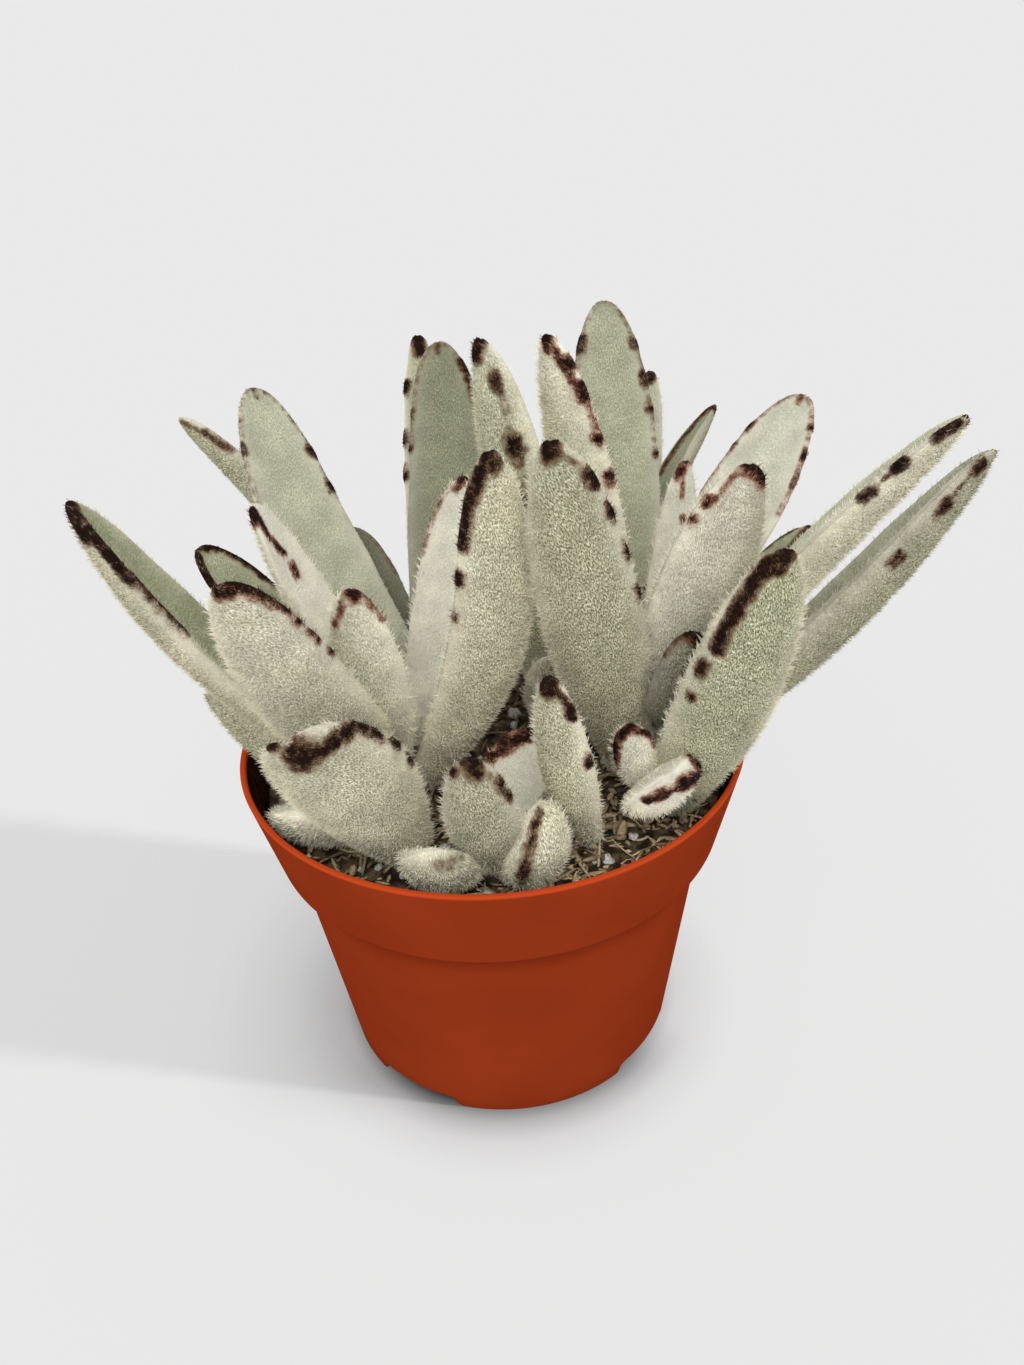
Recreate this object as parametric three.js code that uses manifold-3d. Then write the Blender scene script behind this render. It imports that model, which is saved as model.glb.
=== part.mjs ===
// Panda plant (Kalanchoe tomentosa) in a 10.5 cm plastic nursery pot.
// Millimetres, +Z up. The origin is on the floor under the middle of the pot.
import * as THREE from 'three';
import Module from 'manifold-3d';
import { mergeVertices } from 'three/addons/utils/BufferGeometryUtils.js';

const wasm = await Module();
wasm.setup();

const GAP = 0.3;                    // clearance that touching pieces keep

// Pot, from the floor up.
const FOOT_RADIUS = 36.75;          // outside, on the floor
const BODY_RADIUS = 44.5;           // outside, under the collar
const COLLAR_RADIUS = 47.5;         // outside, at the collar's lower edge
const RIM_RADIUS = 52.5;            // outside, at the top
const COLLAR_Z = 53;                // height of the collar's lower edge
const POT_HEIGHT = 74;
const WALL = 1.25;
const FLOOR_Z = 3;                  // underside of the raised bottom plate
const FLOOR_THICKNESS = 1.5;
const FOOT_RING = 2.4;              // width of the ring that stands on the floor
const PAD_RADIUS = 16;              // the middle of the bottom plate stands on the floor too
const NOTCH_COUNT = 4;
const NOTCH_HEIGHT = 2.5;
const NOTCH_ANGLE = 32;             // degrees of the foot ring that each notch takes
const FIRST_NOTCH = 55;             // degrees from +X to the middle of the first notch
const DRAIN_COUNT = 8;
const DRAIN_RADIUS = 3.5;
const DRAIN_CIRCLE = 26;            // radius of the circle of drain holes
const POT_SEGMENTS = 56;

// Potting soil.
const SOIL_Z = 64;                  // mean height of its surface
const SOIL_BUMP = 0.9;

// Stems: where each leaves the soil, how far its top is displaced, its height and its radius.
const STEMS = {
  left: { x: -18, y: -8, driftX: 1, driftY: -3, top: 87, radius: 3.2 },
  back_left: { x: -14, y: 13, driftX: 0, driftY: 0, top: 86, radius: 3.0 },
  middle: { x: 15, y: 8, driftX: 0, driftY: -1, top: 82, radius: 2.8 },
  right: { x: 31, y: -9, driftX: 0, driftY: -2, top: 90, radius: 3.2 },
  back_right: { x: 31, y: 13, driftX: 0, driftY: 0, top: 86, radius: 3.0 },
  front_left: { x: -14.5, y: -28.5, driftX: 0, driftY: 0, top: 70, radius: 1.9 },
  front: { x: 0, y: -33, driftX: 0, driftY: 0, top: 75, radius: 1.8 },
  front_right: { x: 19.3, y: -28, driftX: 0, driftY: 0, top: 68, radius: 1.5 },
  side: { x: 34, y: -18, driftX: -5, driftY: -7, top: 77, radius: 1.6 },
};
const STEM_DEPTH = 16;              // length buried in the soil
const STEM_TAPER = 0.7;             // top radius as a part of the radius at the soil

// Leaves, stem by stem. Each row gives the height of the leaf's foot on its stem, the compass turn of
// the leaf from +X and its lean from upright (degrees), its length, width and thickness, then its
// bow (how far the middle hangs outwards), sweep (how far the middle lies to one side), roll about its
// own length (degrees) and cup (how far the margins curl up, as a part of the half width).
const LEAVES = {
  left: [
    [74, 199, 36, 82, 21, 8, 6, 0, -6, 0.3],
    [65.5, 196, 45, 46, 16, 5.5, 4, 0, 35, 0.3],
    [86, 176, 24, 50, 14, 5, 2, 0, -10, 0.3],
    [80, 172, 38, 53, 17, 5.5, 2, 0, -10, 0.3],
    [70, 228, 29, 67, 20, 6.5, 5, 0, 45, 0.2],
    [77, 242, 12, 43, 16, 5.5, 2, 0, 5, 0.2],
    [76, 46, 21, 56, 16.5, 5.5, 2, -2, 25, 0.4],
    [68, 323, 17, 80, 16.5, 6.5, 4, 6, -35, 0.2],
    [70, 118, 50, 41, 16, 6, 3, 0, 0, 0.3],
    [80, 285, 5, 12, 8, 4, 1, 0, 0, 0.3],
    [66, 212, 75, 27, 26, 11, 2, 0, 30, 0.1],
  ],
  back_left: [
    [68, 143, 46, 87, 15, 6, -5, 0, 70, 0.3],
    [78, 134, 39, 74, 22, 6, 3, 4, 5, 0.2],
    [71, 122, 38, 44, 17, 6, 3, 0, 0, 0.2],
    [74, 88, 39, 84, 13, 5.5, 3, -2, 0, 0.2],
    [80, 82, 37, 75, 20, 6, 3, -4, 0, 0.2],
    [70, 58, 52, 50, 16, 6, 3, 0, 0, 0.3],
    [82, 60, 9, 18, 9, 4.5, 1, 0, 0, 0.3],
    [67, 175, 58, 44, 15, 6, 3, 0, 0, 0.3],
  ],
  middle: [
    [70, 200, 7, 86, 21, 6, 0, 0, 14, 0.4],
    [70, 265, 34, 36, 14, 5.5, 2, 0, 0, 0.3],
    [72, 95, 38, 54, 17, 6, 3, 0, 0, 0.3],
    [67, 35, 34, 34, 15, 5.5, 3, 0, 0, 0.3],
  ],
  right: [
    [69, 226, 16, 81, 19.5, 7.5, 4, 0, 35, 0.2],
    [84, 69, 38, 50, 10, 5, 2, 0, -10, 0.3],
    [80, 323, 16, 61, 21, 6, 3, -2, -35, 0.2],
    [76, 338, 34.5, 86.5, 22, 7.5, -3, 0, -8, 0.3],
    [70, 10, 48, 88, 20, 7, 4, 0, -30, 0.6],
    [82, 283, 32, 36, 11, 5, 3, 0, 0, 0.3],
    [67, 50, 58, 46, 16, 6, 3, 0, 0, 0.3],
    [88, 180, 8, 24, 9, 4.5, 1, 0, 0, 0.3],
  ],
  back_right: [
    [78, 203, 11, 78, 19, 6, 0, 0, 14, 0.2],
    [78, 92, 28, 80, 20, 6, 3, 0, 0, 0.2],
    [70, 79, 46, 81, 12, 5.5, 2, 2, 0, 0.2],
    [76, 63, 50, 69, 14, 6, -5, 3, -45, 0.3],
    [80, 42, 51, 72, 23, 6, 3, 0, 0, 0.2],
    [72.5, 32, 63, 56, 17, 5.5, 3, 0, -17, 0.3],
    [68, 118, 50, 56, 17, 6, 3, 0, 0, 0.3],
    [82, 40, 8, 16, 9, 4.5, 1, 0, 0, 0.3],
  ],
  front_left: [
    [65, 226, 31, 47, 24, 7.5, -1, 0, 50, 0.5],
    [66, 299, 54, 19, 17, 7.5, 3, 0, -30, 0.2],
  ],
  front: [
    [66, 256, 18, 34, 14.5, 7, 2, 0, 5, 0.2],
    [64, 338, 25, 21, 13.5, 7.5, 5.2, 0, -50, 0.2],
    [73, 60, 50, 20, 14, 5, 1, 0, 10, 0.3],
  ],
  front_right: [
    [66, 224, 13, 43, 12.5, 6.5, 2, 0, 10, 0.2],
  ],
  side: [
    [75, 205, 9, 16, 10, 5, 1, 0, 40, 0.3],
    [76.5, 281, 48, 17.5, 17.5, 8.5, 1, 0, 26, 0.1],
    [66, 307, 21, 70, 18.5, 7, 4, 0, -40, 0.2],
  ],
};

const LEAF_AROUND = 10;             // faces around a leaf
const LEAF_ALONG = 9;               // faces along it
const LEAF_WIDEST = 0.5;            // where along its length a leaf is widest
const LEAF_THICKEST = 0.38;
const LEAF_FOOT = 0.48;             // width of the foot as a part of the full width
const LEAF_FOOT_THICKNESS = 0.6;
const LEAF_TIP_POWER = 2.1;         // 1 is a sharp point and 2 is an ellipse
const LEAF_SHOULDER = 1.4;          // above 1 the leaf stays narrow for longer above its foot
const LEAF_UPPER = 0.38;            // part of the thickness that lies above the margins
const FOOT_ROUNDING = 0.06;         // part of the length over which the foot closes

const radians = THREE.MathUtils.degToRad;

function material(color, roughness) {
  return new THREE.MeshStandardMaterial({ color, roughness, metalness: 0 });
}

const potPlastic = material(0xa8401c, 0.45);
const soilMix = material(0x3a2a1f, 0.95);
const stemBark = material(0x8a7a55, 0.9);
const leafFelt = material(0xa9ad8c, 0.95);

function addMesh(group, name, geometry, surface) {
  const mesh = new THREE.Mesh(geometry, surface);
  mesh.name = name;
  group.add(mesh);
}

// Booleans -------------------------------------------------------------------------------------

function toSolid(geometry) {
  const bare = geometry.index ? geometry.toNonIndexed() : geometry.clone();
  bare.deleteAttribute('normal');
  bare.deleteAttribute('uv');
  const merged = mergeVertices(bare, 1e-4);
  return new wasm.Manifold(new wasm.Mesh({
    numProp: 3,
    vertProperties: new Float32Array(merged.attributes.position.array),
    triVerts: new Uint32Array(merged.index.array),
  }));
}

function toGeometry(solid) {
  const mesh = solid.getMesh();
  const geometry = new THREE.BufferGeometry();
  geometry.setAttribute('position', new THREE.BufferAttribute(mesh.vertProperties, 3));
  geometry.setIndex(new THREE.BufferAttribute(mesh.triVerts, 1));
  geometry.computeVertexNormals();
  return geometry;
}

function largestBody(solid) {
  return solid.decompose().reduce((best, body) => (body.volume() > best.volume() ? body : best));
}

// A lathe turned about +Z from [radius, height] pairs.
function turned(profile, segments) {
  const points = profile.map(([radius, height]) => new THREE.Vector2(radius, height));
  return new THREE.LatheGeometry(points, segments).rotateX(Math.PI / 2);
}

// Pot --------------------------------------------------------------------------------------------

function potGeometry() {
  const floorTop = FLOOR_Z + FLOOR_THICKNESS;
  const bodySlope = (BODY_RADIUS - FOOT_RADIUS) / COLLAR_Z;
  const bodyRadiusAt = (z) => FOOT_RADIUS + bodySlope * z;
  const profile = [
    [0, 0],
    [PAD_RADIUS, 0],
    [PAD_RADIUS, FLOOR_Z],
    [FOOT_RADIUS - FOOT_RING, FLOOR_Z],
    [FOOT_RADIUS - FOOT_RING, 0],
    [FOOT_RADIUS, 0],
    [BODY_RADIUS, COLLAR_Z],
    [COLLAR_RADIUS, COLLAR_Z],
    [RIM_RADIUS, POT_HEIGHT],
    [RIM_RADIUS - WALL, POT_HEIGHT],
    [COLLAR_RADIUS - WALL, COLLAR_Z + WALL],
    [BODY_RADIUS - WALL, COLLAR_Z + WALL],
    [bodyRadiusAt(floorTop) - WALL, floorTop],
    [PAD_RADIUS - WALL, floorTop],
    [PAD_RADIUS - WALL, FLOOR_THICKNESS],
    [0, FLOOR_THICKNESS],
  ];
  let pot = toSolid(turned(profile, POT_SEGMENTS));
  for (let i = 0; i < NOTCH_COUNT; i += 1) {
    const angle = radians(FIRST_NOTCH + (360 / NOTCH_COUNT) * i);
    const width = 2 * FOOT_RADIUS * Math.sin(radians(NOTCH_ANGLE / 2));
    const notch = new THREE.CylinderGeometry(1, 1, 1, 24)
      .rotateZ(Math.PI / 2)
      .scale(FOOT_RADIUS / 2, width / 2, NOTCH_HEIGHT)
      .translate(FOOT_RADIUS, 0, 0)
      .rotateZ(angle);
    pot = pot.subtract(toSolid(notch));
  }
  for (let i = 0; i < DRAIN_COUNT; i += 1) {
    const angle = radians((360 / DRAIN_COUNT) * i);
    const drain = new THREE.CylinderGeometry(DRAIN_RADIUS, DRAIN_RADIUS, 4 * FLOOR_THICKNESS, 12)
      .rotateX(Math.PI / 2)
      .translate(DRAIN_CIRCLE * Math.cos(angle), DRAIN_CIRCLE * Math.sin(angle), floorTop);
    pot = pot.subtract(toSolid(drain));
  }
  return toGeometry(pot);
}

// Soil -------------------------------------------------------------------------------------------

function soilBump(x, y) {
  const coarse = Math.sin(0.21 * x + 1.3) * Math.cos(0.18 * y - 0.6);
  const fine = Math.sin(0.63 * x - 0.4 * y) * Math.cos(0.57 * y + 0.3 * x);
  return SOIL_BUMP * (coarse + 0.6 * fine);
}

// The soil leaves room for the stems and leaves that stand or lie in it.
function soilSolid(hollows) {
  const bottom = FLOOR_Z + FLOOR_THICKNESS + GAP;
  const wallInside = WALL + GAP;
  const bodySlope = (BODY_RADIUS - FOOT_RADIUS) / COLLAR_Z;
  const collarSlope = (RIM_RADIUS - COLLAR_RADIUS) / (POT_HEIGHT - COLLAR_Z);
  const edgeZ = SOIL_Z + 1;
  const edge = COLLAR_RADIUS - wallInside + collarSlope * (edgeZ - COLLAR_Z) - GAP;
  const profile = [
    [0, FLOOR_THICKNESS + GAP],
    [PAD_RADIUS - wallInside, FLOOR_THICKNESS + GAP],
    [PAD_RADIUS - wallInside, bottom],
    [FOOT_RADIUS + bodySlope * bottom - wallInside, bottom],
    [BODY_RADIUS - wallInside, COLLAR_Z + WALL + GAP],
    [COLLAR_RADIUS - wallInside, COLLAR_Z + WALL + GAP],
    [edge, edgeZ],
    [edge * 0.8, SOIL_Z + 0.1],
    [edge * 0.6, SOIL_Z],
    [edge * 0.4, SOIL_Z],
    [edge * 0.2, SOIL_Z],
    [0, SOIL_Z],
  ];
  const geometry = turned(profile, 40);
  const place = geometry.attributes.position;
  for (let i = 0; i < place.count; i += 1) {
    const x = place.getX(i);
    const y = place.getY(i);
    const isTop = place.getZ(i) > SOIL_Z - 1 && Math.hypot(x, y) < edge * 0.9;
    if (isTop) place.setZ(i, place.getZ(i) + soilBump(x, y));
  }
  return largestBody(hollows.reduce((soil, hollow) => soil.subtract(hollow), toSolid(geometry)));
}

// Stems ------------------------------------------------------------------------------------------

function stemCentre(stem, z) {
  const part = Math.max(0, (z - SOIL_Z) / (stem.top - SOIL_Z));
  return new THREE.Vector3(stem.x + stem.driftX * part, stem.y + stem.driftY * part, z);
}

function stemRadius(stem, z) {
  const part = THREE.MathUtils.clamp((z - SOIL_Z) / (stem.top - SOIL_Z), 0, 1);
  return stem.radius * (1 - (1 - STEM_TAPER) * part);
}

// With extra above nought this is the socket that the stem stands in.
function stemGeometry(stem, extra = 0) {
  const bottom = SOIL_Z - STEM_DEPTH - extra;
  const dome = stem.top - 1.2;
  const profile = [
    [0, bottom],
    [stem.radius + extra, bottom],
    [stem.radius + extra, SOIL_Z],
    [stemRadius(stem, dome) + extra, dome],
    [stemRadius(stem, dome) * 0.6, stem.top - 0.2],
    [0, stem.top],
  ];
  const geometry = turned(profile, 12);
  const place = geometry.attributes.position;
  for (let i = 0; i < place.count; i += 1) {
    const centre = stemCentre(stem, place.getZ(i));
    place.setXY(i, place.getX(i) + centre.x, place.getY(i) + centre.y);
  }
  return geometry;
}

// Leaves -----------------------------------------------------------------------------------------

// Rises from foot at 0 to 1 at widest, then closes to nought at the tip.
function outline(along, foot, widest, power) {
  if (along < widest) {
    return foot + (1 - foot) * Math.sin((Math.PI / 2) * (along / widest)) ** LEAF_SHOULDER;
  }
  return Math.sqrt(Math.max(0, 1 - ((along - widest) / (1 - widest)) ** power));
}

function footClosing(along) {
  if (along >= FOOT_ROUNDING) return 1;
  return Math.sqrt(1 - (1 - along / FOOT_ROUNDING) ** 2);
}

// With extra above nought this is the room that the leaf's neighbours keep free for it.
function leafGeometry(stem, row, extra = 0) {
  const [height, turn, lean, length, rowWidth, rowThickness, bow, sweep, roll, cup] = row;
  const width = rowWidth + 2 * extra;
  const thickness = rowThickness + 2 * extra;
  const out = new THREE.Vector3(Math.cos(radians(turn)), Math.sin(radians(turn)), 0);
  const up = new THREE.Vector3(0, 0, 1);
  const chord = out.clone().multiplyScalar(Math.sin(radians(lean)))
    .addScaledVector(up, Math.cos(radians(lean)));
  const side = new THREE.Vector3().crossVectors(up, out).applyAxisAngle(chord, radians(roll));
  const face = new THREE.Vector3().crossVectors(chord, side);
  const foot = stemCentre(stem, height).addScaledVector(out, stemRadius(stem, height) + GAP);

  const geometry = new THREE.SphereGeometry(1, LEAF_AROUND, LEAF_ALONG);
  const place = geometry.attributes.position;
  const point = new THREE.Vector3();
  for (let i = 0; i < place.count; i += 1) {
    point.fromBufferAttribute(place, i);
    const along = (1 + point.y) / 2;
    const ring = Math.hypot(point.x, point.z);
    const across = ring > 1e-6 ? point.x / ring : 0;
    const through = ring > 1e-6 ? -point.z / ring : 0;
    const halfWidth = (width / 2) * outline(along, LEAF_FOOT, LEAF_WIDEST, LEAF_TIP_POWER)
      * footClosing(along);
    const thick = thickness * outline(along, LEAF_FOOT_THICKNESS, LEAF_THICKEST, 2)
      * footClosing(along);
    const arch = Math.sin(Math.PI * along);
    const slope = Math.PI * Math.cos(Math.PI * along) / length;
    const section = through > 0 ? LEAF_UPPER : 1 - LEAF_UPPER;
    const x = ring > 1e-6 ? halfWidth * across : 0;
    const y = ring > 1e-6 ? thick * section * through + cup * halfWidth * across * across : 0;
    const normal = face.clone().addScaledVector(chord, bow * slope).normalize();
    const cross = side.clone().addScaledVector(chord, -sweep * slope).normalize();
    const spot = foot.clone()
      .addScaledVector(chord, length * along)
      .addScaledVector(face, -bow * arch)
      .addScaledVector(side, sweep * arch)
      .addScaledVector(cross, x)
      .addScaledVector(normal, y);
    place.setXYZ(i, spot.x, spot.y, spot.z);
  }
  return geometry;
}

// The plant in its pot -----------------------------------------------------------------------------

// Stems are placed first. Each leaf gives way to the stems and to the leaves placed before it.
const rooms = Object.values(STEMS).map((stem) => toSolid(stemGeometry(stem, GAP)));
const leaves = [];
for (const [name, stem] of Object.entries(STEMS)) {
  LEAVES[name].forEach((row, index) => {
    const whole = toSolid(leafGeometry(stem, row));
    const leaf = largestBody(rooms.reduce((rest, room) => rest.subtract(room), whole));
    leaves.push({ name: `leaf_${name}_${String(index + 1).padStart(2, '0')}`, leaf });
    rooms.push(toSolid(leafGeometry(stem, row, GAP)));
  });
}

const plant = new THREE.Group();
addMesh(plant, 'pot', potGeometry(), potPlastic);
addMesh(plant, 'soil', toGeometry(soilSolid(rooms)), soilMix);
for (const [name, stem] of Object.entries(STEMS)) {
  addMesh(plant, `stem_${name}`, stemGeometry(stem), stemBark);
}
for (const { name, leaf } of leaves) addMesh(plant, name, toGeometry(leaf), leafFelt);

export default plant;
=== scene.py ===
# Panda plant in a plastic nursery pot: the looks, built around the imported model.
# Metres, +Z up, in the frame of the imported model, with the pot standing on the floor at the origin.
import math
from collections import namedtuple

import bmesh
import bpy
import numpy as np
from mathutils import Matrix, Vector, noise


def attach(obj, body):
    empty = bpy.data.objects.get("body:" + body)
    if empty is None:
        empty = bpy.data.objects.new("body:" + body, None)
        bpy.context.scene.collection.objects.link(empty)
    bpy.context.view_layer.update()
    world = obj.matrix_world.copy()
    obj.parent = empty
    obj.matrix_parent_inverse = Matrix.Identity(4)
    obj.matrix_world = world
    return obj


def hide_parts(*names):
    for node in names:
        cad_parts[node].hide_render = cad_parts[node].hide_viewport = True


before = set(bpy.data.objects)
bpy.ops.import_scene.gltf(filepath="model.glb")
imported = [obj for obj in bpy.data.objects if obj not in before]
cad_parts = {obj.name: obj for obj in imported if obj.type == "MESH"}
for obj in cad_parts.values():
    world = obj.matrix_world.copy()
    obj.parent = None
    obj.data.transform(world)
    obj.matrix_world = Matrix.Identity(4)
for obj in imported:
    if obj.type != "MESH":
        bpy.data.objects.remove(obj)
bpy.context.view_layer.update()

MM = 0.001

# Pot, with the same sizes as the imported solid.
FOOT_RADIUS = 36.75 * MM
BODY_RADIUS = 44.5 * MM
COLLAR_RADIUS = 47.5 * MM
RIM_RADIUS = 52.5 * MM
COLLAR_Z = 53 * MM
POT_HEIGHT = 74 * MM
WALL = 1.25 * MM
FLOOR_Z = 3 * MM
FLOOR_THICKNESS = 1.5 * MM
FOOT_RING = 2.4 * MM
PAD_RADIUS = 16 * MM
NOTCH_COUNT = 4
NOTCH_HEIGHT = 2.5 * MM
NOTCH_ANGLE = 32                    # degrees of the foot ring that each notch takes
NOTCH_SHOULDER = 2.8                # degrees over which a notch rises
FIRST_NOTCH = 55                    # degrees from +X to the middle of the first notch
DRAIN_COUNT = 8
DRAIN_RADIUS = 3.5 * MM
DRAIN_CIRCLE = 26 * MM
DRAIN_SEGMENTS = 36
POT_SEGMENTS = 240

# Soil.
SOIL_Z = 64 * MM
SOIL_RADIUS = 48.0 * MM
SOIL_RINGS = 34
SOIL_SEGMENTS = 110
SHRED_COUNT = 1350
PERLITE_COUNT = 130
SHRED_SEED = 11
HEAP_SEED = 12
PERLITE_SEED = 23

# Stems, in millimetres: where each leaves the soil, how far its top is displaced, its top and its radius.
Stem = namedtuple("Stem", "x y drift_x drift_y top radius")
STEMS = {
    "left": Stem(-18, -8, 1, -3, 87, 3.2),
    "back_left": Stem(-14, 13, 0, 0, 86, 3.0),
    "middle": Stem(15, 8, 0, -1, 82, 2.8),
    "right": Stem(31, -9, 0, -2, 90, 3.2),
    "back_right": Stem(31, 13, 0, 0, 86, 3.0),
    "front_left": Stem(-14.5, -28.5, 0, 0, 70, 1.9),
    "front": Stem(0, -33, 0, 0, 75, 1.8),
    "front_right": Stem(19.3, -28, 0, 0, 68, 1.5),
    "side": Stem(34, -18, -5, -7, 77, 1.6),
}
SOIL_LEVEL = 64                     # millimetres, where the stems start to taper
STEM_TAPER = 0.7
STEM_SUNK = 6                       # millimetres of stem that the soil hides
STEM_STEPS = 30
STEM_SEGMENTS = 20
STEM_DOME = 0.93                    # the part of a stem's length above which its top rounds off

# Leaves, stem by stem. A shape has, in millimetres and degrees, the height of the leaf's foot on its
# stem, the compass turn from +X, the lean from upright, the length, width and thickness, the bow
# outwards, the sweep sideways and the roll, and then the cup of the margins as a part of the half width.
# White says how white the young felt is and green how green the outer face is. Tone is painted light and
# shade: it makes the whole leaf lighter where it is well lit and darker where it lies in shade. Cover says
# how closely the hairs stand and nap how long they are. Each mark is a run of brown hair: from and to along
# the leaf, its place round the leaf (0 and 180 are the margins, 90 is the middle of the upper face and 270
# the middle of the outer face, and a pair is where it starts and ends), its radius and how dark it is.
Shape = namedtuple("Shape", "height turn lean length width thickness bow sweep roll cup")
Leaf = namedtuple("Leaf", "shape white green marks tone cover nap")
RIM_LINE_RADIUS = 1.3
RIM_LINE_DARK = 0.38


def rims(start):
    """A soft brown line just inside both margins, from start to the tip."""
    return [(start, 1.0, angle, RIM_LINE_RADIUS, RIM_LINE_DARK) for angle in (12, 168)]


def leaf(shape, white, green, tone=1.0, cover=1.0, nap=1.0, marks=()):
    return Leaf(Shape(*shape), white, green, list(marks), tone, cover, nap)


def back_leaf(*shape):
    """A green leaf on the far side of its stem, with fewer hairs and soft brown margins."""
    return leaf(shape, 0.1, 0.5, cover=0.7, marks=rims(0.7))


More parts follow.
